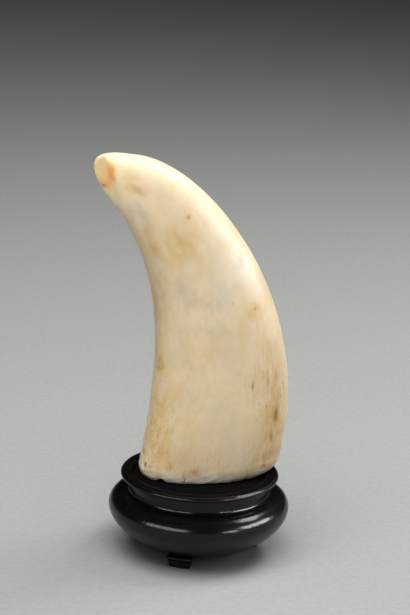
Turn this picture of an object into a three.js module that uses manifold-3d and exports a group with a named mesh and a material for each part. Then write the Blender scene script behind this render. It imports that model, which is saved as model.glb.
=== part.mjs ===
// A polished whale tooth that stands in the shallow recess of a dark turned wooden stand.
// Millimetres, +Z up, the floor at z = 0, and -Y towards the viewer.
import * as THREE from 'three';
import { mergeVertices } from 'three/addons/utils/BufferGeometryUtils.js';
import Module from 'manifold-3d';

const wasm = await Module();
wasm.setup();

const { degToRad } = THREE.MathUtils;
const point = (across, up) => new THREE.Vector2(across, up);

// Stand, turned in one piece: radii from its axis and heights from the floor
const RIM_RADIUS = 37.75;
const RIM_TOP = 39;
const RIM_THICKNESS = 2.4;
const RECESS_RADIUS = 31.75;
const RECESS_FLOOR = 37.5;
const RECESS_EDGE_ROUND = 1;
const NECK_RADIUS = 33.5;
const NECK_FILLET = 2;
const NECK_UPPER_FILLET = 1.2;
const BULGE_RADIUS = 43.2;
const BULGE_HEIGHT = 22.6;
const BULGE_ROUND = 6.3;
const UNDERSIDE_RADIUS = 26;
const UNDERSIDE_HEIGHT = 5;
const BOWL = new THREE.CubicBezierCurve(
  point(UNDERSIDE_RADIUS, UNDERSIDE_HEIGHT),
  point(36.2, 9.5),
  point(BULGE_RADIUS, 16.5),
  point(BULGE_RADIUS, BULGE_HEIGHT),
);
const STAND_SIDES = 64;

// Feet, sawn out of stepped rings under the stand, the first one a little left of the front
const FOOT_COUNT = 3;
const FIRST_FOOT_ANGLE = degToRad(-16.4);
const FOOT_INNER_RADIUS = 22;
const FOOT_TIERS = [
  { bottom: 0, top: 2.2, radius: 29, width: 10.4 },
  { bottom: 2.2, top: 3.4, radius: 29.8, width: 11.4 },
  { bottom: 3.4, top: 4.4, radius: 28.8, width: 10.8 },
  { bottom: 4.4, top: 5.7, radius: 30.6, width: 12.6 },
];

// Tooth: sizes in its middle plane, across from its middle (positive on the convex side)
// and up from its resting face; half depths are at right angles to that plane
const TOOTH_TURN = degToRad(10.5);
const RESTING_GAP = 0.3;
const TOOTH_SHIFT = new THREE.Vector3(2, 2.5, RECESS_FLOOR + RESTING_GAP);
const OUTER_EDGE = new THREE.CubicBezierCurve(
  point(36.7, 10.6),
  point(51.3, 84.8),
  point(-3, 152),
  point(-37.2, 154.2),
);
const INNER_EDGE = new THREE.CubicBezierCurve(
  point(-31.4, 4.3),
  point(-22.9, 55.5),
  point(-19.2, 101.4),
  point(-50.6, 136.2),
);
const TIP_APEX = point(-56.6, 148.3);
const OUTER_TIP = new THREE.CubicBezierCurve(OUTER_EDGE.v3, point(-38.9, 154.3), point(-56.2, 158.3), TIP_APEX);
const INNER_TIP = new THREE.CubicBezierCurve(INNER_EDGE.v3, point(-52.4, 138.2), point(-57.1, 145.1), TIP_APEX);
const RESTING_FACE_OUTER = 23;
const RESTING_FACE_INNER = -29;
const RESTING_FACE_HALF_DEPTH = 16.8;
const BASE_ROUNDNESS = 0.56;
const TIP_ROUNDNESS = 0.9;
const ROUNDNESS_EASE = 3;
const TIP_BLUNTNESS = 0.5;
const SECTION_POWER = 2.3;

// Wear facet that cuts the tip off obliquely: a place on it, the way it faces and how far down it goes
const FACET_PLACE = new THREE.Vector3(-56, 5.5, 148);
const FACET_SIDE = degToRad(29);
const FACET_TILT = degToRad(-8);
const FACET_LOWEST = 120;

// Fineness of the tooth's rings
const TOOTH_SIDES = 48;
const BASE_RINGS = 6;
const BODY_RINGS = 32;
const TIP_RINGS = 9;

const IVORY = { color: 0xe9d9b4, roughness: 0.32, metalness: 0 };
const DARK_LACQUERED_WOOD = { color: 0x1a1413, roughness: 0.28, metalness: 0 };

// Points of a circular arc, both ends included
function arc(centre, radius, fromDegrees, toDegrees, steps) {
  const points = [];
  for (let step = 0; step <= steps; step += 1) {
    const angle = degToRad(fromDegrees + (toDegrees - fromDegrees) * step / steps);
    points.push(point(centre.x + radius * Math.cos(angle), centre.y + radius * Math.sin(angle)));
  }
  return points;
}

// A body turned about the vertical from a profile of radius and height
function turned(profile) {
  const geometry = new THREE.LatheGeometry(profile, STAND_SIDES);
  return geometry.rotateX(Math.PI / 2);
}

// Underside, bowl, bulge, neck, rounded rim and recess, from the axis below to the axis above
function standProfile() {
  const rimRound = RIM_THICKNESS / 2;
  const rimCentre = point(RIM_RADIUS - rimRound, RIM_TOP - rimRound);
  const bulgeCentre = point(BULGE_RADIUS - BULGE_ROUND, BULGE_HEIGHT);
  const shoulder = BULGE_HEIGHT + BULGE_ROUND;
  const filletCentre = point(NECK_RADIUS + NECK_FILLET, shoulder + NECK_FILLET);
  const upperFilletCentre = point(NECK_RADIUS + NECK_UPPER_FILLET, RIM_TOP - RIM_THICKNESS - NECK_UPPER_FILLET);
  const recessEdgeCentre = point(RECESS_RADIUS + RECESS_EDGE_ROUND, RIM_TOP - RECESS_EDGE_ROUND);
  return [
    point(0, UNDERSIDE_HEIGHT),
    ...BOWL.getPoints(8),
    ...arc(bulgeCentre, BULGE_ROUND, 0, 90, 6).slice(1),
    ...arc(filletCentre, NECK_FILLET, 270, 180, 3),
    ...arc(upperFilletCentre, NECK_UPPER_FILLET, 180, 90, 2),
    ...arc(rimCentre, rimRound, -90, 90, 6),
    ...arc(recessEdgeCentre, RECESS_EDGE_ROUND, 90, 180, 3),
    point(RECESS_RADIUS, RECESS_FLOOR),
    point(0, RECESS_FLOOR),
  ];
}

// One step of the ring that the feet are sawn from, closed on itself
function footRingProfile(tier) {
  return [
    point(FOOT_INNER_RADIUS, tier.bottom),
    point(tier.radius, tier.bottom),
    point(tier.radius, tier.top),
    point(FOOT_INNER_RADIUS, tier.top),
    point(FOOT_INNER_RADIUS, tier.bottom),
  ];
}

// A closed solid for joining and cutting, without the triangles that collapse on the axis
function solidFrom(geometry) {
  const bare = geometry.clone();
  bare.deleteAttribute('normal');
  bare.deleteAttribute('uv');
  const merged = mergeVertices(bare, 1e-4);
  const corners = merged.index.array;
  const triangles = [];
  for (let first = 0; first < corners.length; first += 3) {
    const [a, b, c] = corners.slice(first, first + 3);
    if (a !== b && b !== c && c !== a) {
      triangles.push(a, b, c);
    }
  }
  return new wasm.Manifold(new wasm.Mesh({
    numProp: 3,
    vertProperties: new Float32Array(merged.attributes.position.array),
    triVerts: new Uint32Array(triangles),
  }));
}

// A drawable geometry of a solid
function geometryFrom(solid) {
  const mesh = solid.getMesh();
  const geometry = new THREE.BufferGeometry();
  geometry.setAttribute('position', new THREE.BufferAttribute(mesh.vertProperties, 3));
  geometry.setIndex(new THREE.BufferAttribute(mesh.triVerts, 1));
  geometry.computeVertexNormals();
  return geometry;
}

// The turned body with its feet sawn out of the rings
function standGeometry() {
  let stand = solidFrom(turned(standProfile()));
  for (const tier of FOOT_TIERS) {
    const ring = solidFrom(turned(footRingProfile(tier)));
    for (let foot = 0; foot < FOOT_COUNT; foot += 1) {
      const sawCut = new THREE.BoxGeometry(tier.width, RIM_RADIUS, 2 * RIM_RADIUS);
      sawCut.translate(0, -RIM_RADIUS / 2, 0);
      sawCut.rotateZ(FIRST_FOOT_ANGLE + foot * 2 * Math.PI / FOOT_COUNT);
      stand = stand.add(ring.intersect(solidFrom(sawCut)));
    }
  }
  return geometryFrom(stand);
}

// A cosine or sine flattened towards a rounded rectangle
function squared(value) {
  return Math.sign(value) * Math.abs(value) ** (2 / SECTION_POWER);
}

// One section of the tooth between a point of its outer edge and a point of its inner edge
function section(outer, inner, halfDepth) {
  const ring = [];
  for (let side = 0; side < TOOTH_SIDES; side += 1) {
    const angle = 2 * Math.PI * side / TOOTH_SIDES;
    const share = (1 + squared(Math.cos(angle))) / 2;
    const place = inner.clone().lerp(outer, share);
    ring.push(new THREE.Vector3(place.x, halfDepth * squared(Math.sin(angle)), place.y));
  }
  return ring;
}

// Rounded edge between the resting face and the first full section
function baseSections() {
  const outer = OUTER_EDGE.v0;
  const inner = INNER_EDGE.v0;
  const fullHalfDepth = BASE_ROUNDNESS * outer.distanceTo(inner) / 2;
  const rings = [];
  for (let step = 0; step < BASE_RINGS; step += 1) {
    const angle = Math.PI / 2 * step / BASE_RINGS;
    const out = Math.sin(angle);
    const rise = 1 - Math.cos(angle);
    rings.push(section(
      point(THREE.MathUtils.lerp(RESTING_FACE_OUTER, outer.x, out), outer.y * rise),
      point(THREE.MathUtils.lerp(RESTING_FACE_INNER, inner.x, out), inner.y * rise),
      THREE.MathUtils.lerp(RESTING_FACE_HALF_DEPTH, fullHalfDepth, out),
    ));
  }
  return rings;
}

// The long curved body: its depth is a share of its width that grows towards the rounder tip
function bodySections() {
  const rings = [];
  for (let step = 0; step <= BODY_RINGS; step += 1) {
    const share = step / BODY_RINGS;
    const outer = OUTER_EDGE.getPoint(share);
    const inner = INNER_EDGE.getPoint(share);
    const roundness = THREE.MathUtils.lerp(BASE_ROUNDNESS, TIP_ROUNDNESS, share ** ROUNDNESS_EASE);
    rings.push(section(outer, inner, roundness * outer.distanceTo(inner) / 2));
  }
  return rings;
}

// The blunt end, where both edges run round to the apex and the depth closes in more slowly
function tipSections() {
  const fullWidth = OUTER_TIP.v0.distanceTo(INNER_TIP.v0);
  const rings = [];
  for (let step = 1; step < TIP_RINGS; step += 1) {
    const share = step / TIP_RINGS;
    const outer = OUTER_TIP.getPoint(share);
    const inner = INNER_TIP.getPoint(share);
    const closing = (outer.distanceTo(inner) / fullWidth) ** TIP_BLUNTNESS;
    rings.push(section(outer, inner, TIP_ROUNDNESS * closing * fullWidth / 2));
  }
  return rings;
}

// Whatever stands proud of the wear facet is ground back to its plane
function grindFacet(vertices) {
  const facing = new THREE.Vector3(
    -Math.cos(FACET_SIDE) * Math.cos(FACET_TILT),
    -Math.sin(FACET_SIDE) * Math.cos(FACET_TILT),
    Math.sin(FACET_TILT),
  );
  const facet = new THREE.Plane().setFromNormalAndCoplanarPoint(facing, FACET_PLACE);
  for (const vertex of vertices) {
    const proud = facet.distanceToPoint(vertex);
    if (proud > 0 && vertex.z > FACET_LOWEST) {
      vertex.addScaledVector(facing, -proud);
    }
  }
}

// The tooth's skin: rings joined side by side, closed by its resting face and its tip
function toothGeometry() {
  const rings = [...baseSections(), ...bodySections(), ...tipSections()];
  const restingMiddle = new THREE.Vector3((RESTING_FACE_OUTER + RESTING_FACE_INNER) / 2, 0, 0);
  const apex = new THREE.Vector3(TIP_APEX.x, 0, TIP_APEX.y);
  const vertices = [...rings.flat(), restingMiddle, apex];
  grindFacet(vertices);

  const triangles = [];
  const lastRing = (rings.length - 1) * TOOTH_SIDES;
  const restingIndex = rings.length * TOOTH_SIDES;
  const apexIndex = restingIndex + 1;
  for (let side = 0; side < TOOTH_SIDES; side += 1) {
    const next = (side + 1) % TOOTH_SIDES;
    triangles.push(restingIndex, next, side);
    triangles.push(apexIndex, lastRing + side, lastRing + next);
    for (let start = 0; start < lastRing; start += TOOTH_SIDES) {
      const above = start + TOOTH_SIDES;
      triangles.push(start + side, start + next, above + next);
      triangles.push(start + side, above + next, above + side);
    }
  }

  const geometry = new THREE.BufferGeometry().setFromPoints(vertices);
  geometry.setIndex(triangles);
  geometry.rotateZ(TOOTH_TURN);
  geometry.translate(...TOOTH_SHIFT);
  geometry.computeVertexNormals();
  return geometry;
}

// A named piece with its own finish
function piece(name, geometry, finish) {
  const mesh = new THREE.Mesh(geometry, new THREE.MeshStandardMaterial(finish));
  mesh.name = name;
  return mesh;
}

const ornament = new THREE.Group();
ornament.add(piece('tooth', toothGeometry(), IVORY));
ornament.add(piece('stand', standGeometry(), DARK_LACQUERED_WOOD));

// The origin is on the floor, under the middle of the whole object's box
const middle = new THREE.Box3().setFromObject(ornament).getCenter(new THREE.Vector3());
ornament.position.set(-middle.x, -middle.y, 0);
ornament.updateMatrixWorld(true);

export default ornament;
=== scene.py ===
"""A polished whale tooth in a dark turned wooden stand, dressed for a studio picture.

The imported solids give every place. Sizes here are in millimetres and meshes are in metres.
"""
import logging
import math
from dataclasses import dataclass
from enum import Enum
from typing import Any

import bmesh
import bpy
import numpy as np
from bpy.types import Material, Mesh, Node, NodeSocket, NodeTree, Object
from mathutils import Matrix, Vector, noise


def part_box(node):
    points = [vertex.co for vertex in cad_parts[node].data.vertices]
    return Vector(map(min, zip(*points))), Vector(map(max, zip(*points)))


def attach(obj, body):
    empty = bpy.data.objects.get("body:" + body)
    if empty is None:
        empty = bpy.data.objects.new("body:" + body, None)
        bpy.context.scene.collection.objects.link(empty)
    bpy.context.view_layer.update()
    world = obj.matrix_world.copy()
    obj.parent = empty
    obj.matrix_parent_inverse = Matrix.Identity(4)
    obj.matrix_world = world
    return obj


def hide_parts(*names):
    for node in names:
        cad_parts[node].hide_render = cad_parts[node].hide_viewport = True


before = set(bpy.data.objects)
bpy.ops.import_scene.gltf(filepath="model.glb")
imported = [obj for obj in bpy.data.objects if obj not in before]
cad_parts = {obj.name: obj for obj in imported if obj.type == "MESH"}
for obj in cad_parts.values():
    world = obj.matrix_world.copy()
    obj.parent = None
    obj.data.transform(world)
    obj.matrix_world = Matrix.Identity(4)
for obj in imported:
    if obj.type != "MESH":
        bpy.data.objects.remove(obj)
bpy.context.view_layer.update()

MM = 0.001
TINY = 1e-9
LOG = logging.getLogger("whale_tooth")

Point = tuple[float, float]
Edge = tuple[Point, Point, Point, Point]
Place = tuple[float, float, float]
Array = np.ndarray


class Body(Enum):
    """The one rigid body that both pieces ride on."""

    ROOT = "root"


class Slot(Enum):
    """Material slots of the record."""

    IVORY = "ivory"
    DARK_WOOD = "dark_wood"


class Side(Enum):
    """Broad faces of the tooth, by the sign of the depth on them."""

    FRONT = -1.0
    BACK = 1.0


class Throw(Enum):
    """What a softbox adds to the picture."""

    ALL = "all"
    SHADING = "shading"
    REFLECTIONS = "reflections"


class Tint(Enum):
    """Colours of the ivory, each a painted attribute of the tooth's mesh."""

    HONEY = "honey"
    TAN = "tan"
    GREY = "grey"
    STREAK = "streak"
    BROWN = "brown"
    PALE = "pale"
    DENTINE = "dentine"
    AMBER = "amber"


def linear(hex_colour: str) -> tuple[float, float, float, float]:
    """Turns an sRGB hex colour into linear values.

    Args:
        hex_colour: A hash and six hex digits.

    Returns:
        Linear red, green and blue, and a full alpha.
    """
    channels = [int(hex_colour[i:i + 2], 16) / 255 for i in (1, 3, 5)]
    red, green, blue = (c / 12.92 if c <= 0.04045 else ((c + 0.055) / 1.055) ** 2.4 for c in channels)
    return red, green, blue, 1.0


def add_node(
    tree: NodeTree,
    kind: str,
    inputs: dict[str | int, Any] | None = None,
    **settings: Any,
) -> Node:
    """Adds a node, sets its properties, and fills or links its inputs.

    Args:
        tree: Tree that gets the node.
        kind: Type name of the node.
        inputs: Socket name or index, to a plain value or to the output socket that feeds it.
        **settings: Properties of the node, such as an operation.

    Returns:
        The new node.
    """
    node = tree.nodes.new(kind)
    for name, value in settings.items():
        setattr(node, name, value)
    for key, value in (inputs or {}).items():
        if isinstance(value, NodeSocket):
            tree.links.new(value, node.inputs[key])
        else:
            node.inputs[key].default_value = value
    return node


def new_material(name: str) -> tuple[Material, NodeTree]:
    """Makes a material with an empty node tree.

    Args:
        name: Name of the material.

    Returns:
        The material and its tree.
    """
    material = bpy.data.materials.new(name)
    material.use_nodes = True
    material.node_tree.nodes.clear()
    return material, material.node_tree


@dataclass(frozen=True)
class Grain:
    """A noise pattern of a real size: one patch in millimetres along each direction, and its contrast."""

    size_mm: Place
    detail: float
    low: float
    high: float

    def lay(self, tree: NodeTree, place: Any, top: Any = 1.0) -> NodeSocket:
        """Lays the pattern on a piece.

        Args:
            tree: Tree that gets the pattern.
            place: Socket with the place on the piece, in metres.
            top: Value of the pattern at its strongest, a number or a socket.

        Returns:
            The pattern's socket, from 0 to the top.
        """
        scale = [1 / (size * MM) for size in self.size_mm]
        mapping = add_node(tree, "ShaderNodeMapping", {"Vector": place, "Scale": scale})
        drawing = {"Vector": mapping.outputs[0], "Scale": 1.0, "Detail": self.detail}
        pattern = add_node(tree, "ShaderNodeTexNoise", drawing)
        contrast = {"Value": pattern.outputs[0], "From Min": self.low, "From Max": self.high, "To Max": top}
        return add_node(tree, "ShaderNodeMapRange", contrast).outputs[0]


def lay_colours(tree: NodeTree, base: str, layers: list[tuple[Any, str]]) -> NodeSocket:
    """Lays colours over one another.

    Args:
        tree: Tree that gets the layers.
        base: Colour below all, in hex.
        layers: For each layer, how much of it shows and its colour in hex.

    Returns:
        The finished colour's socket.
    """
    colour = linear(base)
    for share, upper in layers:
        mix = add_node(tree, "ShaderNodeMix", {0: share, 6: colour, 7: linear(upper)}, data_type="RGBA")
        colour = mix.outputs[2]
    return colour


@dataclass(frozen=True)
class PolishedIvory:
    """Whale ivory, ground and polished by hand, aged to cream with tan stains that follow its growth."""

    cream: str = "#E7D3B2"
    bone: str = "#D6CAB3"
    honey: str = "#D9BE88"
    grey: str = "#BDB097"
    pale: str = "#EFE7D6"
    tan: str = "#C5A165"
    ochre: str = "#B98A44"
    brown: str = "#6A491A"
    dentine: str = "#FADC9C"
    amber: str = "#EFA450"
    roughness: float = 0.36
    ior: float = 1.54
    gloss: float = 0.2
    subsurface: float = 0.18
    subsurface_depth_mm: float = 2.5
    subsurface_colours: Place = (1.0, 0.62, 0.35)
    cloud_share: float = 0.6
    band_share: float = 0.3
    mottling_share: float = 0.3
    halo_full_at: float = 0.45
    halo_share: float = 0.85
    core_from: float = 0.3
    core_share: float = 0.9
    streak_dulling: float = 0.15
    streak_bump: float = 0.25
    streak_depth_mm: float = 0.05
    clouds: Grain = Grain((13, 13, 20), 3.0, 0.40, 0.66)
    growth_bands: Grain = Grain((80, 80, 9), 2.0, 0.44, 0.68)
    warm_blots: Grain = Grain((6, 6, 11), 4.0, 0.34, 0.60)
    mottling: Grain = Grain((2.4, 2.4, 4), 3.0, 0.44, 0.68)
    flecks: Grain = Grain((4, 4, 8), 4.0, 0.34, 0.64)
    dashes: Grain = Grain((0.7, 0.7, 5), 2.0, 0.50, 0.74)
    pores: Grain = Grain((0.9, 0.9, 1.3), 1.0, 0.62, 0.74)

    def build(self) -> Material:
        """Makes the material.

        Returns:
            The finished material.
        """
        material, tree = new_material("polished_ivory")
        # Patterns lie on the tooth as if it were straightened, so that streaks follow its growth.
        unbent = add_node(tree, "ShaderNodeAttribute", attribute_name="unbent").outputs["Vector"]
        painted = {tint: add_node(tree, "ShaderNodeAttribute", attribute_name=tint.value) for tint in Tint}
        tints = {tint: node.outputs["Fac"] for tint, node in painted.items()}
        dashes = self.dashes.lay(tree, unbent, tints[Tint.STREAK])

        # A mark is ochre round its edge and brown only in its core.
        wide = {"Value": tints[Tint.BROWN], "From Max": self.halo_full_at, "To Max": self.halo_share}
        halo = add_node(tree, "ShaderNodeMapRange", wide)
        narrow = {"Value": tints[Tint.BROWN], "From Min": self.core_from, "To Max": self.core_share}
        core = add_node(tree, "ShaderNodeMapRange", narrow)

        # Greyer clouds and warm bands across the growth, then stains, streaks and marks.
        layers = [
            (self.clouds.lay(tree, unbent, self.cloud_share), self.bone),
            (self.growth_bands.lay(tree, unbent, self.band_share), self.honey),
            (self.warm_blots.lay(tree, unbent, tints[Tint.HONEY]), self.honey),
            (self.mottling.lay(tree, unbent, self.mottling_share), self.honey),
            (self.flecks.lay(tree, unbent, tints[Tint.TAN]), self.tan),
            (tints[Tint.PALE], self.pale),
            # The grey tint holds greyer clouds and one patch of painted shade below the tip on the concave
            # side.
            (self.warm_blots.lay(tree, unbent, tints[Tint.GREY]), self.grey),
            (dashes, self.ochre),
            (self.pores.lay(tree, unbent, tints[Tint.STREAK]), self.ochre),
            (tints[Tint.DENTINE], self.dentine),
            (tints[Tint.AMBER], self.amber),
            (halo.outputs[0], self.ochre),
            (core.outputs[0], self.brown),
        ]

        # Hand polish leaves a soft gloss, a little duller along the streaks, which are also faintly sunk.
        duller = {"Value": dashes, "To Min": self.roughness, "To Max": self.roughness + self.streak_dulling}
        dulling = add_node(tree, "ShaderNodeMapRange", duller)
        sunk = {"Height": dashes, "Strength": self.streak_bump, "Distance": self.streak_depth_mm * MM}
        bump = add_node(tree, "ShaderNodeBump", sunk, invert=True)
        skin = {
            "Base Color": lay_colours(tree, self.cream, layers),
            "Roughness": dulling.outputs[0],
            "Normal": bump.outputs[0],
            "IOR": self.ior,
            "Specular IOR Level": self.gloss,
            "Subsurface Weight": self.subsurface,
            "Subsurface Radius": self.subsurface_colours,
            "Subsurface Scale": self.subsurface_depth_mm * MM,
        }
        shader = add_node(tree, "ShaderNodeBsdfPrincipled", skin)
        add_node(tree, "ShaderNodeOutputMaterial", {"Surface": shader.outputs["BSDF"]})
        return material


@dataclass(frozen=True)
class LacqueredHardwood:
    """Turned hardwood, stained nearly black under lacquer, with red-brown wood at its worn edges, painted
    mostly on the lit right side, so partly painted light.
    """

    stain: str = "#070606"
    vein: str = "#0E0B0A"
    worn_and_lit: str = "#3A1E17"
    roughness: float = 0.4
    gloss: float = 0.05
    coat: float = 0.5
    coat_roughness: float = 0.16
    worn_dulling: float = 0.15
    pore_bump: float = 0.35
    pore_depth_mm: float = 0.06
    veins: Grain = Grain((26, 2.2, 2.2), 4.0, 0.46, 0.68)
    wear: Grain = Grain((5, 5, 3), 4.0, 0.40, 0.62)
    pores: Grain = Grain((5, 0.8, 0.8), 2.0, 0.35, 0.7)

    def build(self) -> Material:
        """Makes the material.

        Returns:
            The finished material.
        """
        material, tree = new_material("black_lacquered_hardwood")
        place = add_node(tree, "ShaderNodeTexCoord").outputs["Object"]
        worn_and_lit = add_node(tree, "ShaderNodeAttribute", attribute_name="worn_and_lit").outputs["Fac"]

        # Veins run across the stand, as in a block sawn from a plank; the lacquer hides most of them.
        # Red-brown at the worn edges, which the attribute keeps mostly to the lit right side: partly real
        # wear, partly painted light.
        worn = self.wear.lay(tree, place, worn_and_lit)
        layers = [(self.veins.lay(tree, place), self.vein), (worn, self.worn_and_lit)]
        duller = {"Value": worn, "To Min": self.roughness, "To Max": self.roughness + self.worn_dulling}
        dulling = add_node(tree, "ShaderNodeMapRange", duller)

        # Open pores of the wood dimple the lacquer and break its reflections up into fine dashes.
        pores = self.pores.lay(tree, place)
        dimples = {"Height": pores, "Strength": self.pore_bump, "Distance": self.pore_depth_mm * MM}
        bump = add_node(tree, "ShaderNodeBump", dimples)
        lacquer = {
            "Base Color": lay_colours(tree, self.stain, layers),
            "Roughness": dulling.outputs[0],
            "Normal": bump.outputs[0],
            "Specular IOR Level": self.gloss,
            "Coat Weight": self.coat,
            "Coat Roughness": self.coat_roughness,
            "Coat Normal": bump.outputs[0],
        }
        shader = add_node(tree, "ShaderNodeBsdfPrincipled", lacquer)
        add_node(tree, "ShaderNodeOutputMaterial", {"Surface": shader.outputs["BSDF"]})
        return material


@dataclass(frozen=True)
class DullFinish:
    """A surface too dull to mirror anything, in one colour with a grain of another over it."""

    name: str
    base: str
    upper: str
    roughness: float
    grain: Grain
    gloss: float = 0.0

    def build(self) -> Material:
        """Makes the material.

        Returns:
            The finished material.
        """
        material, tree = new_material(self.name)
        place = add_node(tree, "ShaderNodeTexCoord").outputs["Object"]
        colour = lay_colours(tree, self.base, [(self.grain.lay(tree, place), self.upper)])
        dull = {"Base Color": colour, "Roughness": self.roughness, "Specular IOR Level": self.gloss}
        shader = add_node(tree, "ShaderNodeBsdfPrincipled", dull)
        add_node(tree, "ShaderNodeOutputMaterial", {"Surface": shader.outputs["BSDF"]})
        return material


@dataclass(frozen=True)
class RecessShadeWood(DullFinish):
    """Recess and rim top: the stand's wood stained black, dull and dark without lacquer; in the recess this
    is painted shade, and on the rim top it mirrors nothing.
    """

    name: str = "recess_shade_wood"
    base: str = "#0A0A09"
    upper: str = "#12100F"
    roughness: float = 0.8
    # Veins as in the rest of the block, hardly lighter than the stain.
    grain: Grain = Grain((22, 1.8, 1.8), 4.0, 0.44, 0.68)


@dataclass(frozen=True)
class PalePaper(DullFinish):
    """Matt pale grey paper under the object, which gives soft shadows and no reflection."""

    name: str = "pale_grey_paper"
    base: str = "#8E8E8C"
    upper: str = "#949492"
    roughness: float = 0.9
    # Faint fibres, drawn about as coarse as they have to be to show at all.
    grain: Grain = Grain((3, 3, 3), 3.0, 0.3, 0.7)


def add_object(name: str, mesh: Mesh) -> Object:
    """Puts a mesh in the scene as an object at the origin.

    Args:
        name: Name of the object.
        mesh: Mesh with its place in its vertices.

    Returns:
        The new object.
    """
    made = bpy.data.objects.new(name, mesh)
    bpy.context.scene.collection.objects.link(made)
    return made


def face_outwards(mesh: Mesh, merge_mm: float) -> None:
    """Closes a mesh's seams and turns its faces outwards.

    Args:
        mesh: Mesh to change.
        merge_mm: Vertices nearer than this become one.
    """
    work = bmesh.new()
    work.from_mesh(mesh)
    bmesh.ops.remove_doubles(work, verts=work.verts, dist=merge_mm * MM)
    bmesh.ops.dissolve_degenerate(work, edges=work.edges, dist=merge_mm * MM)
    bmesh.ops.recalc_face_normals(work, faces=work.faces)
    work.to_mesh(mesh)
    work.free()
    mesh.update()


def set_attribute(mesh: Mesh, name: str, values: Array) -> None:
    """Stores one number, or one vector, for each vertex.

    Args:
        mesh: Mesh that gets the attribute.
        name: Name of the attribute.
        values: One row for each vertex.
    """
    kind, field_name = ("FLOAT", "value") if values.ndim == 1 else ("FLOAT_VECTOR", "vector")
    attribute = mesh.attributes.new(name, kind, "POINT")
    attribute.data.foreach_set(field_name, values.astype(np.float32).ravel())


def declare(piece: Object, node: str) -> None:
    """Ties a finished piece to its body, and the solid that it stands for.

    Args:
        piece: Finished piece.
        node: Solid that it replaces.
    """
    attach(piece, Body.ROOT.value)
    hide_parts(node)
    LOG.info("%s: %d faces, stands for %s", piece.name, len(piece.data.polygons), node)


def stand_axis() -> Vector:
    """Finds the place of the stand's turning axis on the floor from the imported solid."""
    low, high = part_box("stand")
    return Vector(((low.x + high.x) / 2, (low.y + high.y) / 2, 0.0))


def arc(centre: Point, radius: float, start_deg: float, end_deg: float, steps: int) -> list[Point]:
    """Lists the points of a circular arc, both ends included."""
    angles = np.radians(np.linspace(start_deg, end_deg, steps + 1))
    return [(centre[0] + radius * math.cos(a), centre[1] + radius * math.sin(a)) for a in angles]


def bezier(edge: Edge, shares: Array) -> Array:
    """Evaluates a cubic curve.

    Args:
        edge: Its four control points.
        shares: Places along it, from 0 to 1.

    Returns:
        One point for each place.
    """
    t = shares[:, None]
    start, first, second, end = (np.array(p) for p in edge)
    return (1 - t) ** 3 * start + 3 * t * (1 - t) ** 2 * first + 3 * t**2 * (1 - t) * second + t**3 * end


def fade(away: Array, half: float) -> Array:
    """Falls off smoothly from 1 in the middle of a mark to nearly 0 at twice its half width."""
    return np.exp(-((away / half) ** 2))


@dataclass(frozen=True)
class FootTier:
    """One step of a foot: its heights, outer radius and width, in millimetres."""

    bottom: float
    top: float
    radius: float
    width: float


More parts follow.
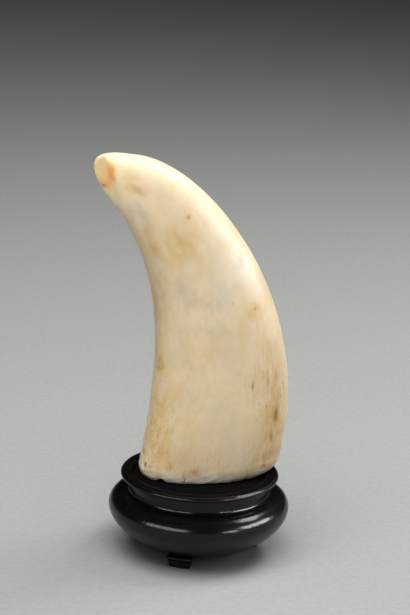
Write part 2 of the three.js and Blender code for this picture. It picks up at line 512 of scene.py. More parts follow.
@dataclass
class Stand:
    """Stand turned in one piece: radii from its axis and heights from the floor, in millimetres."""

    finish: LacqueredHardwood
    recess_finish: DullFinish
    rim_radius: float = 37.75
    rim_top: float = 39.0
    rim_thickness: float = 2.4
    recess_radius: float = 31.75
    recess_floor: float = 37.5
    recess_edge_round: float = 1.0
    neck_radius: float = 33.5
    neck_fillet: float = 2.0
    neck_upper_fillet: float = 1.2
    bulge_radius: float = 43.2
    bulge_height: float = 22.6
    bulge_round: float = 6.3
    bowl: Edge = ((26, 5), (36.2, 9.5), (43.2, 16.5), (43.2, 22.6))
    sides: int = 256
    foot_count: int = 3
    first_foot_deg: float = -16.4
    foot_inner_radius: float = 22.0
    foot_chamfer: float = 0.25
    foot_gap: float = 0.04
    foot_tiers: tuple[FootTier, ...] = (
        FootTier(0.0, 2.2, 29.0, 10.4),
        FootTier(2.2, 3.4, 29.8, 11.4),
        FootTier(3.4, 4.4, 28.8, 10.8),
        FootTier(4.4, 5.7, 30.6, 12.6),
        FootTier(0.5, 5.5, 28.4, 10.0),
    )
    turning_radius: float = 20.0
    bowl_steps: int = 40
    bulge_steps: int = 30
    neck_steps: int = 14
    rim_steps: int = 20
    edge_steps: int = 10
    foot_points: int = 20
    seam: float = 0.001
    merge: float = 0.002
    sharp_deg: float = 40.0
    rim_rub: float = 0.8
    rim_rub_width: float = 0.9
    rim_rub_drop: float = 1.0
    lip_rub: float = 0.4
    lip_rub_width: float = 0.6
    lip_rub_place: float = 0.4
    ledge_rub: float = 0.4
    ledge_rub_width: float = 0.4
    ledge_tier: int = 3
    # Share of the worn rim and lip painted at the middle; it grows towards the lit right side, as painted
    # light.
    lit_side_least: float = 0.1
    margin: float = 0.1
    wall_margin: float = 0.01

    def body_outline(self) -> list[Point]:
        """Draws the turned profile.

        Returns:
            Radius and height of each point, from the axis below to the axis above.
        """
        rim_round = self.rim_thickness / 2
        bulge = (self.bulge_radius - self.bulge_round, self.bulge_height)
        shoulder = self.bulge_height + self.bulge_round
        fillet = (self.neck_radius + self.neck_fillet, shoulder + self.neck_fillet)
        under_rim = self.rim_top - self.rim_thickness - self.neck_upper_fillet
        hollow = (self.neck_radius + self.neck_upper_fillet, under_rim)
        rim = (self.rim_radius - rim_round, self.rim_top - rim_round)
        inner_edge = (self.recess_radius + self.recess_edge_round, self.rim_top - self.recess_edge_round)
        return [
            (0.0, self.bowl[0][1]),
            *((float(r), float(z)) for r, z in bezier(self.bowl, np.linspace(0, 1, self.bowl_steps + 1))),
            *arc(bulge, self.bulge_round, 0, 90, self.bulge_steps)[1:],
            *arc(fillet, self.neck_fillet, 270, 180, self.neck_steps),
            *arc(hollow, self.neck_upper_fillet, 180, 90, self.edge_steps),
            *arc(rim, rim_round, -90, 90, self.rim_steps),
            *arc(inner_edge, self.recess_edge_round, 90, 180, self.edge_steps),
            (self.recess_radius, self.recess_floor),
            (0.0, self.recess_floor),
        ]

    def tier_outline(self, tier: FootTier) -> list[Point]:
        """Draws the section of one step of a foot, with its outer corners taken off.

        Args:
            tier: The step.

        Returns:
            Radius and height of each corner of the closed outline.
        """
        low, high, cut = tier.bottom, tier.top - self.foot_gap, self.foot_chamfer
        return [
            (self.foot_inner_radius, low),
            (tier.radius - cut, low),
            (tier.radius, low + cut),
            (tier.radius, high - cut),
            (tier.radius - cut, high),
            (self.foot_inner_radius, high),
        ]

    def outlines(self) -> Mesh:
        """Puts all outlines in one mesh of edges, with each point numbered by its outline.

        Returns:
            The mesh, drawn flat as the turning tree reads it: radius across, height downwards.
        """
        lines = [self.body_outline(), *(self.tier_outline(tier) for tier in self.foot_tiers)]
        points, edges, numbers = [], [], []
        for number, line in enumerate(lines):
            first = len(points)
            points += [((r - self.turning_radius) * MM, -z * MM, 0.0) for r, z in line]
            edges += [(first + i, first + i + 1) for i in range(len(line) - 1)]
            edges += [(first + len(line) - 1, first)] if number else []
            numbers += [number] * len(line)
        mesh = bpy.data.meshes.new("stand_outlines")
        mesh.from_pydata(points, edges, [])
        mesh.attributes.new("outline", "INT", "POINT").data.foreach_set("value", numbers)
        return mesh

    def turning_tree(self) -> NodeTree:
        """Builds the tree that turns the body, sweeps a foot's steps, sets the feet out and joins all.

        Returns:
            The geometry node tree.
        """
        tree = bpy.data.node_groups.new("turned_stand", "GeometryNodeTree")
        sockets = {
            "Geometry": "NodeSocketGeometry",
            "Sides": "NodeSocketInt",
            "Turning Radius": "NodeSocketFloat",
            "Foot Count": "NodeSocketInt",
            "First Foot": "NodeSocketFloat",
            "Finish": "NodeSocketMaterial",
            **{f"Foot Sweep {n}": "NodeSocketFloat" for n, _ in enumerate(self.foot_tiers, 1)},
        }
        for name, kind in sockets.items():
            tree.interface.new_socket(name, in_out="INPUT", socket_type=kind)
        tree.interface.new_socket("Geometry", in_out="OUTPUT", socket_type="NodeSocketGeometry")
        given = add_node(tree, "NodeGroupInput").outputs
        number = add_node(tree, "GeometryNodeInputNamedAttribute", {"Name": "outline"}, data_type="INT")

        lines = []
        for wanted in range(len(self.foot_tiers) + 1):
            pair = {2: number.outputs["Attribute"], 3: wanted}
            same = add_node(tree, "FunctionNodeCompare", pair, data_type="INT", operation="EQUAL")
            choice = {"Geometry": given["Geometry"], "Selection": same.outputs[0]}
            parted = add_node(tree, "GeometryNodeSeparateGeometry", choice, domain="POINT")
            lines.append(add_node(tree, "GeometryNodeMeshToCurve", {"Mesh": parted.outputs["Selection"]}))

        ring = {"Resolution": given["Sides"], "Radius": given["Turning Radius"]}
        circle = add_node(tree, "GeometryNodeCurvePrimitiveCircle", ring)
        path = add_node(tree, "GeometryNodeSetCurveNormal", {"Curve": circle.outputs[0]}, mode="Z_UP")
        turning = {"Curve": path.outputs["Curve"], "Profile Curve": lines[0].outputs["Curve"]}
        body = add_node(tree, "GeometryNodeCurveToMesh", turning)
        seam = {"Geometry": body.outputs["Mesh"], "Distance": self.seam * MM}
        closed = add_node(tree, "GeometryNodeMergeByDistance", seam)

        foot = add_node(tree, "GeometryNodeMeshBoolean", operation="UNION", solver="EXACT")
        for wanted in range(1, len(self.foot_tiers) + 1):
            sweep = given[f"Foot Sweep {wanted}"]
            start = add_node(tree, "ShaderNodeMath", {0: sweep, 1: -0.5}, operation="MULTIPLY")
            bend = {"Resolution": self.foot_points, "Radius": given["Turning Radius"]}
            bend |= {"Start Angle": start.outputs[0], "Sweep Angle": sweep}
            bow = add_node(tree, "GeometryNodeCurveArc", bend, mode="RADIUS")
            path = add_node(tree, "GeometryNodeSetCurveNormal", {"Curve": bow.outputs[0]}, mode="Z_UP")
            sawing = {"Curve": path.outputs["Curve"], "Profile Curve": lines[wanted].outputs["Curve"]}
            step = add_node(tree, "GeometryNodeCurveToMesh", sawing | {"Fill Caps": True})
            tree.links.new(step.outputs["Mesh"], foot.inputs["Mesh 2"])

        row = {"Count": given["Foot Count"], "Offset": (0.0, 0.0, 0.0)}
        places = add_node(tree, "GeometryNodeMeshLine", row, mode="OFFSET")
        share = {0: math.tau, 1: given["Foot Count"]}
        spacing = add_node(tree, "ShaderNodeMath", share, operation="DIVIDE")
        index = add_node(tree, "GeometryNodeInputIndex")
        angle = {0: index.outputs[0], 1: spacing.outputs[0], 2: given["First Foot"]}
        turn = add_node(tree, "ShaderNodeMath", angle, operation="MULTIPLY_ADD")
        rotation = add_node(tree, "ShaderNodeCombineXYZ", {"Z": turn.outputs[0]})
        setting = {"Points": places.outputs["Mesh"], "Instance": foot.outputs["Mesh"]}
        setting |= {"Rotation": rotation.outputs[0]}
        feet = add_node(tree, "GeometryNodeInstanceOnPoints", setting)
        made_feet = add_node(tree, "GeometryNodeRealizeInstances", {"Geometry": feet.outputs["Instances"]})
        joined = add_node(tree, "GeometryNodeMeshBoolean", operation="UNION", solver="EXACT")
        for part in (closed, made_feet):
            tree.links.new(part.outputs["Geometry"], joined.inputs["Mesh 2"])
        whole = add_node(tree, "GeometryNodeRealizeInstances", {"Geometry": joined.outputs["Mesh"]})
        dressing = {"Geometry": whole.outputs["Geometry"], "Material": given["Finish"]}
        dressed = add_node(tree, "GeometryNodeSetMaterial", dressing)
        add_node(tree, "NodeGroupOutput", {"Geometry": dressed.outputs["Geometry"]})
        return tree

    def turned_mesh(self, material: Material) -> Mesh:
        """Runs the turning tree on the outlines.

        Args:
            material: Finish of the whole stand.

        Returns:
            The stand's plain mesh about the axis.
        """
        holder = add_object("stand_turning", self.outlines())
        tree = self.turning_tree()
        modifier = holder.modifiers.new("turning", "NODES")
        modifier.node_group = tree
        values = {
            "Sides": self.sides,
            "Turning Radius": self.turning_radius * MM,
            "Foot Count": self.foot_count,
            "First Foot": math.radians(self.first_foot_deg - 90),
            "Finish": material,
            **{f"Foot Sweep {n}": tier.width / tier.radius for n, tier in enumerate(self.foot_tiers, 1)},
        }
        for item in tree.interface.items_tree:
            if item.in_out == "INPUT" and item.name in values:
                modifier[item.identifier] = values[item.name]
        evaluated = holder.evaluated_get(bpy.context.evaluated_depsgraph_get())
        mesh = bpy.data.meshes.new_from_object(evaluated)
        holder.modifiers.remove(modifier)
        bpy.data.objects.remove(holder)
        return mesh

    def paint_wear(self, mesh: Mesh) -> None:
        """Marks the edges that hands and cloths have worn, painted mostly on the right, where the key lights
        fall: partly real wear, partly painted light.

        Args:
            mesh: Mesh of the stand about its axis.
        """
        place = np.empty(len(mesh.vertices) * 3)
        mesh.vertices.foreach_get("co", place)
        place = place.reshape(-1, 3) / MM
        radius = np.hypot(place[:, 0], place[:, 1])
        height = place[:, 2]
        drop = height - self.rim_top
        rim = fade(radius - self.rim_radius, self.rim_rub_width)
        rim *= fade(drop + self.rim_rub_drop, self.rim_rub_drop)
        beside_lip = radius - self.recess_radius - self.lip_rub_place
        lip = fade(beside_lip, self.lip_rub_width) * fade(drop, self.lip_rub_width)
        tier = self.foot_tiers[self.ledge_tier]
        ledge = fade(radius - tier.radius, self.ledge_rub_width) * (height < tier.top + self.margin)
        # Painted light: the worn rim and lip fade out to the left and are strongest on the right, where the
        # key lights fall.
        right = place[:, 0] / self.rim_radius
        lit_side_share = np.clip(self.lit_side_least + (1 - self.lit_side_least) * right, 0, 1)
        worn_and_lit = (self.rim_rub * rim + self.lip_rub * lip) * lit_side_share + self.ledge_rub * ledge
        set_attribute(mesh, "worn_and_lit", np.clip(worn_and_lit, 0, 1))

    def dress_recess(self, mesh: Mesh) -> None:
        """Gives the recess and the rim's flat top their own dull dark finish, painted shade in the recess,
        with lacquer left on the edge between.

        Args:
            mesh: Mesh of the stand about its axis.
        """
        mesh.materials.append(self.recess_finish.build())
        for face in mesh.polygons:
            radius = face.center.xy.length / MM
            inside = radius < self.rim_radius - self.rim_thickness / 2
            edge = self.wall_margin < radius - self.recess_radius < self.recess_edge_round
            if inside and not edge and face.center.z > (self.recess_floor - self.margin) * MM:
                face.material_index = 1

    def build(self) -> Object:
        """Makes the stand and dresses it.

        Returns:
            The finished piece.
        """
        mesh = self.turned_mesh(self.finish.build())
        mesh.name = "turned_stand"
        face_outwards(mesh, self.merge)
        self.paint_wear(mesh)
        self.dress_recess(mesh)
        mesh.transform(Matrix.Translation(stand_axis()))
        mesh.shade_smooth()
        mesh.set_sharp_from_angle(angle=math.radians(self.sharp_deg))
        piece = add_object("wooden_stand", mesh)
        declare(piece, "stand")
        return piece


@dataclass(frozen=True)
class Stain:
    """One stain on a broad face of the tooth, in millimetres across and up from its resting face."""

    across: float
    up: float
    half_width: float
    half_length: float
    strength: float
    lean_deg: float = 0.0
    depth_share: float = 1.6
    deepest: float = 12.0

    def cover(self, places: Array, side: Side, drift: list[Array]) -> Array:
        """Works out where the stain shows; it reaches only a little way into the depth.

        Args:
            places: Points of the skin.
            side: Face of the tooth that it lies on.
            drift: How far its outline wavers across and up at each point, as shares of its size.

        Returns:
            Its strength at each point.
        """
        across = places[:, 0] - self.across
        up = places[:, 2] - self.up
        middle = np.argmin(np.where(places[:, 1] * side.value < 0, np.inf, across**2 + up**2))
        reach = min(self.depth_share * max(self.half_width, self.half_length), self.deepest)
        across = across + self.half_width * drift[0]
        up = up + self.half_length * drift[1]
        lean = math.radians(self.lean_deg)
        wide = fade(across * math.cos(lean) + up * math.sin(lean), self.half_width)
        tall = fade(up * math.cos(lean) - across * math.sin(lean), self.half_length)
        return self.strength * wide * tall * fade(places[:, 1] - places[middle, 1], reach)


STAINS: dict[tuple[Side, Tint], tuple[Stain, ...]] = {
    # Warm core of the worn facet.
    (Side.FRONT, Tint.AMBER): (
        Stain(-48.9, 147.6, 1.5, 5.2, 0.75, lean_deg=-6),
        Stain(-51.0, 142.2, 1.4, 3.4, 0.6, lean_deg=64),
        Stain(-50.4, 147.0, 3.0, 4.0, 0.28),
    ),
    # Dark spots, pits and short streaks, from the tip down to the base.
    (Side.FRONT, Tint.BROWN): (
        Stain(-48.4, 149.9, 0.7, 1.2, 0.2),
        Stain(-48.0, 145.4, 1.0, 1.3, 0.26),
        Stain(-51.4, 140.6, 0.9, 2.4, 0.5, lean_deg=70),
        Stain(-51.9, 153.9, 0.5, 1.4, 0.35, lean_deg=90),
        Stain(-36.6, 140.5, 1.3, 3.6, 0.3, lean_deg=66),
        Stain(-13.9, 128.4, 0.9, 0.9, 0.45),
        Stain(7.7, 88.0, 0.5, 0.6, 0.35),
        Stain(18.6, 84.8, 0.6, 0.8, 0.55),
        Stain(18.5, 48.4, 0.5, 2.4, 0.55),
        Stain(26.0, 49.5, 0.5, 3.0, 0.45),
        Stain(31.0, 32.4, 1.5, 3.4, 0.7),
        Stain(29.0, 22.0, 0.8, 3.2, 0.45, lean_deg=10),
        Stain(26.2, 7.3, 1.6, 1.2, 0.5),
        Stain(-29.9, 11.8, 0.4, 0.9, 0.65),
        Stain(-29.5, 6.9, 0.5, 1.2, 0.85),
        Stain(-27.7, 6.5, 0.5, 0.6, 0.5),
        Stain(-19.2, 7.9, 1.0, 3.0, 0.32),
        Stain(-8.0, 6.5, 2.6, 1.6, 0.4),
    ),
    # Tan patches below the tip, along both edges and round the base.
    (Side.FRONT, Tint.TAN): (
        Stain(-37.5, 141.0, 2.4, 6.0, 0.7, lean_deg=66),
        Stain(-13.6, 128.2, 2.0, 1.6, 0.6),
        Stain(-29.7, 114.7, 3.4, 6.5, 0.75, lean_deg=22),
        Stain(-32.5, 122.0, 2.0, 4.0, 0.5, lean_deg=30),
        Stain(-15.5, 114.6, 5.0, 6.5, 0.6, lean_deg=20),
        Stain(-20.2, 120.0, 4.0, 5.0, 0.5, lean_deg=30),
        Stain(-26.3, 84.0, 3.0, 18.0, 0.65),
        Stain(-25.0, 55.6, 3.0, 7.0, 0.5),
        Stain(-27.0, 28.0, 4.5, 15.0, 0.65),
        Stain(-20.0, 42.0, 4.0, 10.0, 0.4),
        Stain(-22.0, 15.0, 6.0, 7.0, 0.5),
        Stain(16.1, 83.7, 4.5, 3.5, 0.6),
        Stain(21.5, 78.0, 3.0, 8.0, 0.5),
        Stain(29.0, 56.0, 5.0, 18.0, 0.5),
        Stain(30.0, 30.0, 5.0, 16.0, 0.65),
        Stain(25.0, 11.0, 7.0, 8.0, 0.7),
        Stain(-12.0, 14.0, 5.0, 9.0, 0.2),
        Stain(-42.0, 147.0, 6.0, 6.0, 0.25),
    ),
    # Broad warm washes under them.
    (Side.FRONT, Tint.HONEY): (
        Stain(-24.0, 24.0, 13.0, 30.0, 0.9),
        Stain(-26.0, 76.0, 5.0, 26.0, 0.7),
        Stain(2.0, 64.0, 20.0, 9.0, 0.4),
        Stain(-4.0, 30.0, 14.0, 18.0, 0.25),
        Stain(27.0, 30.0, 9.0, 30.0, 0.8),
        Stain(16.0, 78.0, 8.0, 13.0, 0.7, lean_deg=8),
        Stain(-27.0, 112.0, 8.0, 14.0, 0.7, lean_deg=25),
        Stain(-14.0, 116.0, 9.0, 10.0, 0.8, lean_deg=20),
        Stain(-45.0, 147.0, 10.0, 8.0, 0.3),
        Stain(0.0, 9.0, 30.0, 7.0, 0.2),
    ),
    # Where fine streaks follow the growth.
    (Side.FRONT, Tint.STREAK): (
        Stain(-26.0, 26.0, 9.0, 28.0, 0.65),
        Stain(-20.0, 86.0, 6.0, 18.0, 0.1),
        Stain(29.0, 34.0, 8.0, 30.0, 0.6),
        Stain(19.0, 50.0, 4.0, 8.0, 0.35),
        Stain(0.0, 10.0, 24.0, 8.0, 0.3),
    ),
    # Yellower core that the worn facet lays bare.
    (Side.FRONT, Tint.DENTINE): (
        Stain(-51.2, 147.0, 6.5, 7.0, 1.0),
    ),
    # Greyer clouds across the middle, and below the tip on the concave side a grey patch that is painted
    # shade.
    (Side.FRONT, Tint.GREY): (
        Stain(-14.5, 94.0, 3.4, 8.0, 0.4, lean_deg=50),
        Stain(-4.5, 87.5, 9.0, 3.4, 0.42),
        Stain(6.0, 94.0, 3.4, 8.5, 0.42, lean_deg=-50),
        Stain(11.0, 107.0, 3.2, 3.8, 0.7),
        Stain(-3.0, 75.0, 15.0, 3.4, 0.34, lean_deg=-3),
        Stain(-12.0, 58.5, 9.0, 3.2, 0.3),
        # Painted shade: darkens the concave side below the tip, which faces away from the light.
        Stain(-36.0, 130.0, 5.5, 9.0, 0.7, lean_deg=40),
    ),
    # Pale patches towards the convex edge.
    (Side.FRONT, Tint.PALE): (
        Stain(13.6, 106.0, 7.0, 7.0, 0.45),
        Stain(4.0, 92.0, 6.0, 5.0, 0.35),
    ),
    # The back has fewer, in the same tints.
    (Side.BACK, Tint.HONEY): (
        Stain(22.0, 40.0, 10.0, 34.0, 0.8),
        Stain(-22.0, 30.0, 10.0, 26.0, 0.8),
        Stain(-22.0, 112.0, 10.0, 14.0, 0.6, lean_deg=25),
    ),
    (Side.BACK, Tint.STREAK): (
        Stain(-24.0, 26.0, 8.0, 28.0, 0.4),
        Stain(26.0, 40.0, 9.0, 32.0, 0.45),
        Stain(0.0, 10.0, 24.0, 8.0, 0.3),
    ),
    (Side.BACK, Tint.TAN): (
        Stain(20.0, 60.0, 6.0, 20.0, 0.6),
        Stain(-15.0, 40.0, 5.0, 18.0, 0.5),
        Stain(-20.0, 110.0, 6.0, 9.0, 0.6, lean_deg=25),
    ),
    (Side.BACK, Tint.GREY): (
        Stain(-4.0, 84.0, 12.0, 3.4, 0.4),
        Stain(4.0, 66.0, 10.0, 3.2, 0.34),
    ),
    (Side.BACK, Tint.PALE): (
        Stain(5.0, 100.0, 7.0, 8.0, 0.4),
    ),
    (Side.BACK, Tint.BROWN): (
        Stain(24.0, 35.0, 1.2, 4.0, 0.55),
        Stain(-24.0, 12.0, 0.8, 2.0, 0.6),
        Stain(6.0, 8.0, 2.2, 1.6, 0.45),
        Stain(-5.0, 75.0, 0.6, 0.8, 0.5),
    ),
}


@dataclass(frozen=True)
class Crack:
    """A fine drying crack that runs up from the base of the front face, in millimetres."""

    across: float
    height: float
    half_width: float = 0.3
    wander: float = 0.35
    bends: float = 0.9
    cut: float = 0.3
    shade: float = 0.6

    def mark(self, places: Array) -> Array:
        """Marks where the crack runs.

        Args:
            places: Points of the skin.

        Returns:
            1 in the crack and 0 away from it.
        """
        wander = self.wander * np.sin(places[:, 2] * self.bends + self.across)
        thinning = np.sqrt(np.clip((self.height - places[:, 2]) / self.height, 0, 1))
        beside = places[:, 0] - self.across - wander
        return fade(beside, self.half_width) * thinning * (places[:, 1] < 0)


@dataclass(frozen=True)
class Curl:
    """A fine curled line in the growth on the concave side: part of an oval, in millimetres."""

    depth: float
    up: float
    half_width: float
    half_height: float
    start_deg: float
    end_deg: float
    half_line: float = 0.42
    points: int = 40
    cut: float = 0.12
    shade: float = 0.38

    def mark(self, places: Array) -> Array:
        """Marks where the line runs.

        Args:
            places: Points of the skin.

        Returns:
            1 on the line and 0 away from it.
        """
        far = np.full(len(places), np.inf)
        for angle in np.radians(np.linspace(self.start_deg, self.end_deg, self.points)):
            beside = places[:, 1] - self.depth + self.half_width * math.cos(angle)
            above = places[:, 2] - self.up - self.half_height * math.sin(angle)
            far = np.minimum(far, np.hypot(beside, above))
        return fade(far, self.half_line) * (places[:, 0] < 0)


FINE_LINES: tuple[Crack | Curl, ...] = (
    Crack(-12.7, 7.5),
    Crack(17.3, 9.0),
    Curl(-6.2, 56.5, 2.6, 3.0, -170, 95),
    Curl(-5.8, 56.1, 1.2, 1.6, -120, 130),
    Curl(-4.6, 63.1, 1.0, 3.2, 120, 215),
)


@dataclass(frozen=True)
class Wave:
    """Smooth random values: how far they go each way, the size of one wave in millimetres, and a seed."""

    height: float
    size: float
    seed: float
    seed_depth: float = 1.7
    seed_up: float = 0.3

    def at(self, places: Array) -> Array:
        """Gives one value for each of some points in millimetres."""
        shift = Vector((self.seed, self.seed * self.seed_depth, self.seed * self.seed_up))
        return self.height * np.array([noise.noise(Vector(p) / self.size + shift) for p in places.tolist()])


@dataclass
class Tooth:
    """The tooth in its own frame: across to the convex side, depth to the back, up from its resting face."""

    finish: PolishedIvory
    turn_deg: float = 10.5
    shift: Point = (2.0, 2.5)
    outer_edge: Edge = ((36.7, 10.6), (51.3, 84.8), (-3, 152), (-37.2, 154.2))
    inner_edge: Edge = ((-31.4, 4.3), (-22.9, 55.5), (-19.2, 101.4), (-50.6, 136.2))
    apex: Point = (-56.6, 148.3)
    outer_tip: tuple[Point, Point] = ((-38.9, 154.3), (-56.2, 158.3))
    inner_tip: tuple[Point, Point] = ((-52.4, 138.2), (-57.1, 145.1))
    resting_outer: float = 23.0
    resting_inner: float = -29.0
    resting_half_depth: float = 16.8
    base_roundness: float = 0.56
    tip_roundness: float = 0.9
    roundness_ease: float = 3.0
    tip_bluntness: float = 0.5
    section_power: float = 2.3
    tip_section_power: float = 3.0
    shoulder_start: float = 0.5
    shoulder_span: float = 0.3
    facet_place: Place = (-56.0, 5.5, 148.0)
    facet_side_deg: float = 29.0
    facet_tilt_deg: float = -8.0
    facet_lowest: float = 120.0
    facet_rounding: float = 1.1
    around: int = 320
    under_rows: int = 8
    base_rows: int = 22
    body_rows: int = 226
    tip_rows: int = 36
    hand_polish: tuple[Wave, ...] = (Wave(0.16, 17, 3.1), Wave(0.05, 6, 8.4))
    rough_base: tuple[Wave, ...] = (Wave(0.3, 3.2, 5.7), Wave(0.12, 1.3, 1.9))
    rough_height: float = 7.0
    flat_height: float = 0.2
    pit_depth: float = 0.3
    pit_longest: float = 1.0
    chips: Wave = Wave(0.35, 4.5, 2.2)
    chip_height: float = 3.5
    chip_from: float = 0.75
    notch_across: float = -23.0
    notch_half_width: float = 1.7
    notch_depth: float = 1.1
    stain_drift: tuple[Wave, ...] = (Wave(0.4, 4.0, 6.6), Wave(0.3, 4.0, 9.2))
    pale_edge: tuple[Wave, ...] = (Wave(2.5, 6.0, 4.4), Wave(1.2, 2.2, 7.3))
    pale_edge_height: float = 5.0
    pale_edge_stretch: float = 0.4
    pale_edge_width: float = 2.2
    pale_edge_share: float = 0.72
    pore_share: float = 0.05
    pore_top: float = 120.0
    pore_span: float = 60.0
    dentine_depth: float = 0.9

    def section(self, outer: Array, inner: Array, half_depth: float, ridged: float = 0.0) -> Array:
        """Makes one ring of the skin between a point of each edge.

        Args:
            outer: Point of the outer edge, across and up.
            inner: Point of the inner edge, across and up.
            half_depth: Half of the section's depth.
            ridged: How far the section has the tip's squarer shoulders, from 0 to 1.

        Returns:
            Across, depth and up of each point of the ring.
        """
        angles = np.arange(self.around) * math.tau / self.around + math.pi / 2
        power = 2 / (self.section_power + (self.tip_section_power - self.section_power) * ridged)
        wide = np.sign(np.cos(angles)) * np.abs(np.cos(angles)) ** power
        deep = np.sign(np.sin(angles)) * np.abs(np.sin(angles)) ** power
        line = (outer + inner) / 2 + np.outer(wide, (outer - inner) / 2)
        return np.column_stack([line[:, 0], half_depth * deep, line[:, 1]])

    def rings(self) -> Array:
        """Makes every ring of the skin, from the middle of the resting face to the tip.

        Returns:
            An array of rings, points and coordinates.
        """
        rest = np.array([[self.resting_outer, 0.0], [self.resting_inner, 0.0]])
        outer = bezier(self.outer_edge, np.linspace(0, 1, self.body_rows + 1))
        inner = bezier(self.inner_edge, np.linspace(0, 1, self.body_rows + 1))
        middle = rest.mean(0)
        made = []
        for step in range(1, self.under_rows):
            size = step / self.under_rows
            ends = middle + (rest - middle) * size
            made.append(self.section(ends[0], ends[1], self.resting_half_depth * size))
        base_half_depth = self.base_roundness * np.linalg.norm(outer[0] - inner[0]) / 2
        for angle in np.linspace(0, math.pi / 2, self.base_rows, endpoint=False):
            out, rise = math.sin(angle), 1 - math.cos(angle)
            ends = [
                np.array([low[0] + (full[0] - low[0]) * out, full[1] * rise])
                for low, full in ((rest[0], outer[0]), (rest[1], inner[0]))
            ]
            depth = self.resting_half_depth + (base_half_depth - self.resting_half_depth) * out
            made.append(self.section(ends[0], ends[1], depth))
        for row, share in enumerate(np.linspace(0, 1, self.body_rows + 1)):
            growth = share**self.roundness_ease
            roundness = self.base_roundness + (self.tip_roundness - self.base_roundness) * growth
            ridged = min(max((share - self.shoulder_start) / self.shoulder_span, 0.0), 1.0)
            half_depth = roundness * np.linalg.norm(outer[row] - inner[row]) / 2
            made.append(self.section(outer[row], inner[row], half_depth, ridged))
        shares = np.linspace(0, 1, self.tip_rows, endpoint=False)[1:]
        outer_tip = bezier((self.outer_edge[3], *self.outer_tip, self.apex), shares)
        inner_tip = bezier((self.inner_edge[3], *self.inner_tip, self.apex), shares)
        full_width = np.linalg.norm(outer[-1] - inner[-1])
        for high, low in zip(outer_tip, inner_tip):
            closing = (np.linalg.norm(high - low) / full_width) ** self.tip_bluntness
            made.append(self.section(high, low, self.tip_roundness * closing * full_width / 2, 1.0))
        return np.array(made)

    def grind_facet(self, places: Array) -> Array:
        """Grinds the worn facet at the tip, with a softly rounded edge.

        Args:
            places: Points of the skin, changed in place.

        Returns:
            How far each point was ground back.
        """
        side, tilt = math.radians(self.facet_side_deg), math.radians(self.facet_tilt_deg)
        level = math.cos(tilt)
        facing = np.array([-math.cos(side) * level, -math.sin(side) * level, math.sin(tilt)])
        proud = (places - np.array(self.facet_place)) @ facing
        ground = self.facet_rounding * np.logaddexp(0, proud / self.facet_rounding)
        ground *= places[:, 2] > self.facet_lowest
        places -= ground[:, None] * facing
        return ground

    def unbent(self, rings: Array) -> Array:
        """Straightens the tooth out, for patterns that follow its growth.

        Args:
            rings: The skin before any relief.

        Returns:
            Across, depth and length along the tooth of each point, in millimetres.
        """
        middles = rings.mean(1)
        steps = np.linalg.norm(np.diff(middles, axis=0), axis=1)
        along = np.concatenate([[0.0], np.cumsum(steps)])
        offsets = rings - middles[:, None]
        across = np.sign(offsets[..., 0]) * np.hypot(offsets[..., 0], offsets[..., 2])
        lengths = np.broadcast_to(along[:, None], across.shape)
        return np.stack([across, rings[..., 1], lengths], -1).reshape(-1, 3)

    def normals(self, rings: Array) -> Array:
        """Finds which way the skin faces at each of its points.

        Args:
            rings: Rings of the skin.

        Returns:
            One unit vector for each point.
        """
        along = np.gradient(rings, axis=0)
        around = np.roll(rings, -1, 1) - np.roll(rings, 1, 1)
        facing = np.cross(around, along).reshape(-1, 3)
        return facing / np.maximum(np.linalg.norm(facing, axis=1), TINY)[:, None]

    def relief(self, places: Array, straight: Array) -> Array:
        """Works out the fine relief: hand polish, a rough base, pits, cracks and curls.

        Args:
            places: Points of the skin.
            straight: The same points on the straightened tooth.

        Returns:
            How far each point moves outwards, in millimetres.
        """
        front = places[:, 1] < 0
        near_base = np.clip(1 - places[:, 2] / self.rough_height, 0, 1)
        moved = sum(wave.at(straight) for wave in self.hand_polish)
        moved += near_base * sum(wave.at(straight) for wave in self.rough_base)
        for stain in STAINS[Side.FRONT, Tint.BROWN]:
            if stain.half_length < self.pit_longest:
                far = np.hypot(places[:, 0] - stain.across, places[:, 2] - stain.up)
                moved -= self.pit_depth * stain.strength * fade(far, stain.half_width) * front
        for line in FINE_LINES:
            moved -= line.cut * line.mark(places)
        return moved

    def chip_base(self, places: Array) -> None:
        """Breaks up the lower edge, with one wider notch at the front left.

        Args:
            places: Points of the skin, changed in place.
        """
        low = np.clip(1 - places[:, 2] / self.chip_height, 0, 1)
        out = np.hypot(places[:, 0] / self.resting_inner, places[:, 1] / self.resting_half_depth)
        ragged = np.clip(self.chips.at(places * [1, 1, 0]), 0, None)
        notch = self.notch_depth * fade(places[:, 0] - self.notch_across, self.notch_half_width)
        places[:, 2] += low * (out > self.chip_from) * (ragged + notch * (places[:, 1] < 0))

    def stain_fields(self, places: Array) -> dict[Tint, Array]:
        """Adds up the stains of each tint.

        Args:
            places: Points of the skin.

        Returns:
            For each tint, its strength at each point, from 0 to 1.
        """
        fields = {tint: np.zeros(len(places)) for tint in Tint}
        drift = [wave.at(places) for wave in self.stain_drift]
        for (side, tint), stains in STAINS.items():
            fields[tint] += sum(stain.cover(places, side, drift) for stain in stains)
        return {tint: np.clip(field, 0, 1) for tint, field in fields.items()}

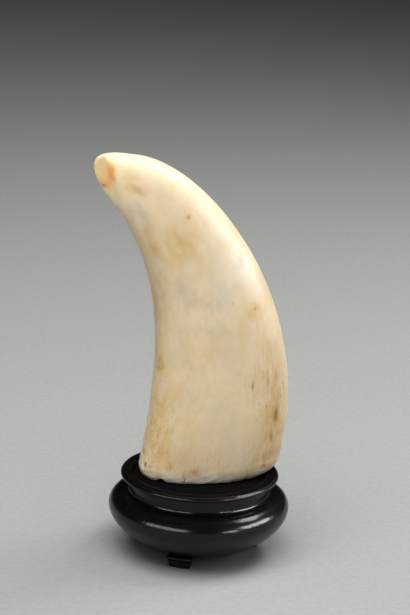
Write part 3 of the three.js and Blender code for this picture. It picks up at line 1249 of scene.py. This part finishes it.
    def paint(self, mesh: Mesh, skin: Array, rings: Array, ground: Array) -> None:
        """Stores the stains and the straightened places for the ivory to read.

        Args:
            mesh: The tooth's mesh, with the two end points after the skin's.
            skin: Points of the finished skin.
            rings: The same points before any relief, in rings.
            ground: How far the facet was ground back at each point.
        """
        fields = self.stain_fields(skin)
        for line in FINE_LINES:
            fields[Tint.BROWN] = np.maximum(fields[Tint.BROWN], line.shade * line.mark(skin))
        flattened = skin * [1, 1, self.pale_edge_stretch]
        edge = self.pale_edge_height + sum(wave.at(flattened) for wave in self.pale_edge)
        rim = np.clip((edge - skin[:, 2]) / self.pale_edge_width + 0.5, 0, 1)
        fields[Tint.PALE] = np.clip(fields[Tint.PALE] + self.pale_edge_share * rim, 0, 1)
        lower = np.clip((self.pore_top - skin[:, 2]) / self.pore_span, 0, 1)
        fields[Tint.STREAK] += self.pore_share * lower
        fields[Tint.DENTINE] *= np.clip(ground / self.dentine_depth, 0, 1)
        ends = [0, len(skin) - 1]
        straight = self.unbent(rings)
        set_attribute(mesh, "unbent", np.vstack([straight, straight[ends]]) * MM)
        for tint, field in fields.items():
            set_attribute(mesh, tint.value, np.append(field, field[ends]))

    def faces(self, ring_count: int) -> list[tuple[int, ...]]:
        """Joins the rings side by side and closes both ends.

        Args:
            ring_count: Number of rings; the two end points follow them.

        Returns:
            Corner numbers of each face.
        """
        made = []
        last = (ring_count - 1) * self.around
        middle, apex = ring_count * self.around, ring_count * self.around + 1
        for side in range(self.around):
            after = (side + 1) % self.around
            made.append((middle, after, side))
            made.append((apex, last + side, last + after))
            for start in range(0, last, self.around):
                above = start + self.around
                made.append((start + side, start + after, above + after, above + side))
        return made

    def build(self) -> Object:
        """Makes the tooth and dresses it.

        Returns:
            The finished piece.
        """
        rings = self.rings()
        skin = rings.reshape(-1, 3).copy()
        ground = self.grind_facet(skin)
        moved = self.relief(skin, self.unbent(rings)) * (skin[:, 2] > self.flat_height)
        skin += self.normals(rings) * moved[:, None]
        self.chip_base(skin)

        shaped = skin.reshape(rings.shape)
        mesh = bpy.data.meshes.new("whale_tooth")
        points = np.vstack([skin, shaped[0].mean(0), shaped[-1].mean(0)])
        mesh.from_pydata(points * MM, [], self.faces(len(rings)))
        self.paint(mesh, skin, rings, ground)

        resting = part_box("tooth")[0].z
        spot = stand_axis() + Vector((self.shift[0] * MM, self.shift[1] * MM, resting))
        mesh.transform(Matrix.Translation(spot) @ Matrix.Rotation(math.radians(self.turn_deg), 4, "Z"))
        mesh.materials.append(self.finish.build())
        mesh.shade_smooth()
        piece = add_object("ivory_tooth", mesh)
        declare(piece, "tooth")
        return piece


@dataclass(frozen=True)
class Softbox:
    """A rectangular studio light: where it stands, seen from the object, and how strong it is."""

    name: str
    towards: Place
    distance_mm: float
    width_mm: float
    height_mm: float
    watts: float
    throw: Throw = Throw.ALL
    aim_mm: Place = (0.0, 0.0, 90.0)
    spread_deg: float = 180.0


@dataclass
class Studio:
    """Floor, lights and camera, set out from the stand's axis in millimetres and picture pixels."""

    axis: Vector
    picture_height_px: int = 615
    camera_elevation_deg: float = 15.8
    camera_roll_deg: float = 2.04
    camera_distance: float = 950.0
    pixels_per_mm: float = 2.137
    aim_across: float = -0.26
    aim_height: float = 120.1
    sensor_mm: float = 36.0
    clip_m: Point = (0.01, 100.0)
    floor_size: float = 9000.0
    room_colour: str = "#8C8C8E"
    room_strength: float = 0.03
    softboxes: tuple[Softbox, ...] = (
        Softbox("scrim_above", (-0.106, -0.290, 0.951), 1200, 1300, 1100, 27.0, Throw.SHADING),
        Softbox("scrim_front", (-0.120, -0.920, 0.370), 1200, 900, 700, 3.0, Throw.SHADING),
        Softbox("tip_light", (-0.8, -0.55, 0.25), 900, 90, 90, 0.0045, Throw.SHADING, (-56, -2, 197), 5),
        Softbox("back_light", (0.520, 0.300, 0.800), 1100, 600, 300, 8.0),
        Softbox("edge_light", (0.860, 0.440, 0.250), 1100, 700, 500, 3.0, Throw.SHADING),
        Softbox("reflector_right", (0.937, -0.165, 0.309), 1100, 900, 350, 20.0, Throw.REFLECTIONS),
        Softbox("reflector_left", (-0.620, -0.740, 0.260), 1300, 1300, 420, 11.0, Throw.REFLECTIONS),
        Softbox("low_reflector_right", (0.665, -0.739, 0.087), 1200, 350, 220, 3.6, Throw.REFLECTIONS),
    )

    def floor(self, finish: DullFinish) -> None:
        """Lays the floor.

        Args:
            finish: Finish of the floor.
        """
        half = self.floor_size / 2 * MM
        mesh = bpy.data.meshes.new("floor")
        corners = [(-half, -half, 0), (half, -half, 0), (half, half, 0), (-half, half, 0)]
        mesh.from_pydata(corners, [], [(0, 1, 2, 3)])
        mesh.materials.append(finish.build())
        add_object("floor", mesh)

    def lights(self) -> None:
        """Sets up the softboxes and a dim grey room."""
        for box in self.softboxes:
            lamp = bpy.data.lights.new(box.name, "AREA")
            lamp.shape = "RECTANGLE"
            lamp.size = box.width_mm * MM
            lamp.size_y = box.height_mm * MM
            lamp.energy = box.watts
            lamp.spread = math.radians(box.spread_deg)
            made = bpy.data.objects.new(box.name, lamp)
            towards = Vector(box.towards).normalized()
            made.location = self.axis + (Vector(box.aim_mm) + towards * box.distance_mm) * MM
            made.rotation_euler = towards.to_track_quat("Z", "Y").to_euler()
            made.visible_glossy = box.throw is not Throw.SHADING
            made.visible_diffuse = box.throw is not Throw.REFLECTIONS
            bpy.context.scene.collection.objects.link(made)
        world = bpy.data.worlds.new("dim_grey_room")
        world.use_nodes = True
        background = world.node_tree.nodes["Background"]
        background.inputs["Color"].default_value = linear(self.room_colour)
        background.inputs["Strength"].default_value = self.room_strength
        bpy.context.scene.world = world
        bpy.context.scene.view_settings.view_transform = "Standard"

    def camera(self) -> None:
        """Places the camera at the photograph's angle."""
        elevation = math.radians(self.camera_elevation_deg)
        roll = math.radians(self.camera_roll_deg)
        aim = self.axis + Vector((self.aim_across, 0, self.aim_height)) * MM
        back = Vector((0, -math.cos(elevation), math.sin(elevation)))
        level = Vector((1, 0, 0))
        upright = back.cross(level)
        right = level * math.cos(roll) + upright * math.sin(roll)
        up = upright * math.cos(roll) - level * math.sin(roll)
        lens = bpy.data.cameras.new("photo_camera")
        lens.sensor_fit = "VERTICAL"
        lens.sensor_height = self.sensor_mm
        lens.sensor_width = self.sensor_mm
        lens.lens = self.sensor_mm * self.pixels_per_mm * self.camera_distance / self.picture_height_px
        lens.clip_start, lens.clip_end = self.clip_m
        made = bpy.data.objects.new("photo_camera", lens)
        turn = Matrix((right, up, back)).transposed().to_4x4()
        made.matrix_world = Matrix.Translation(aim + back * self.camera_distance * MM) @ turn
        bpy.context.scene.collection.objects.link(made)
        bpy.context.scene.camera = made


def main() -> None:
    """Builds the pieces in order, then the studio round them."""
    logging.basicConfig(level=logging.INFO, format="%(name)s %(message)s")
    Stand(LacqueredHardwood(), RecessShadeWood()).build()
    Tooth(PolishedIvory()).build()
    studio = Studio(stand_axis())
    studio.floor(PalePaper())
    studio.lights()
    studio.camera()


if __name__ == "__main__":
    main()
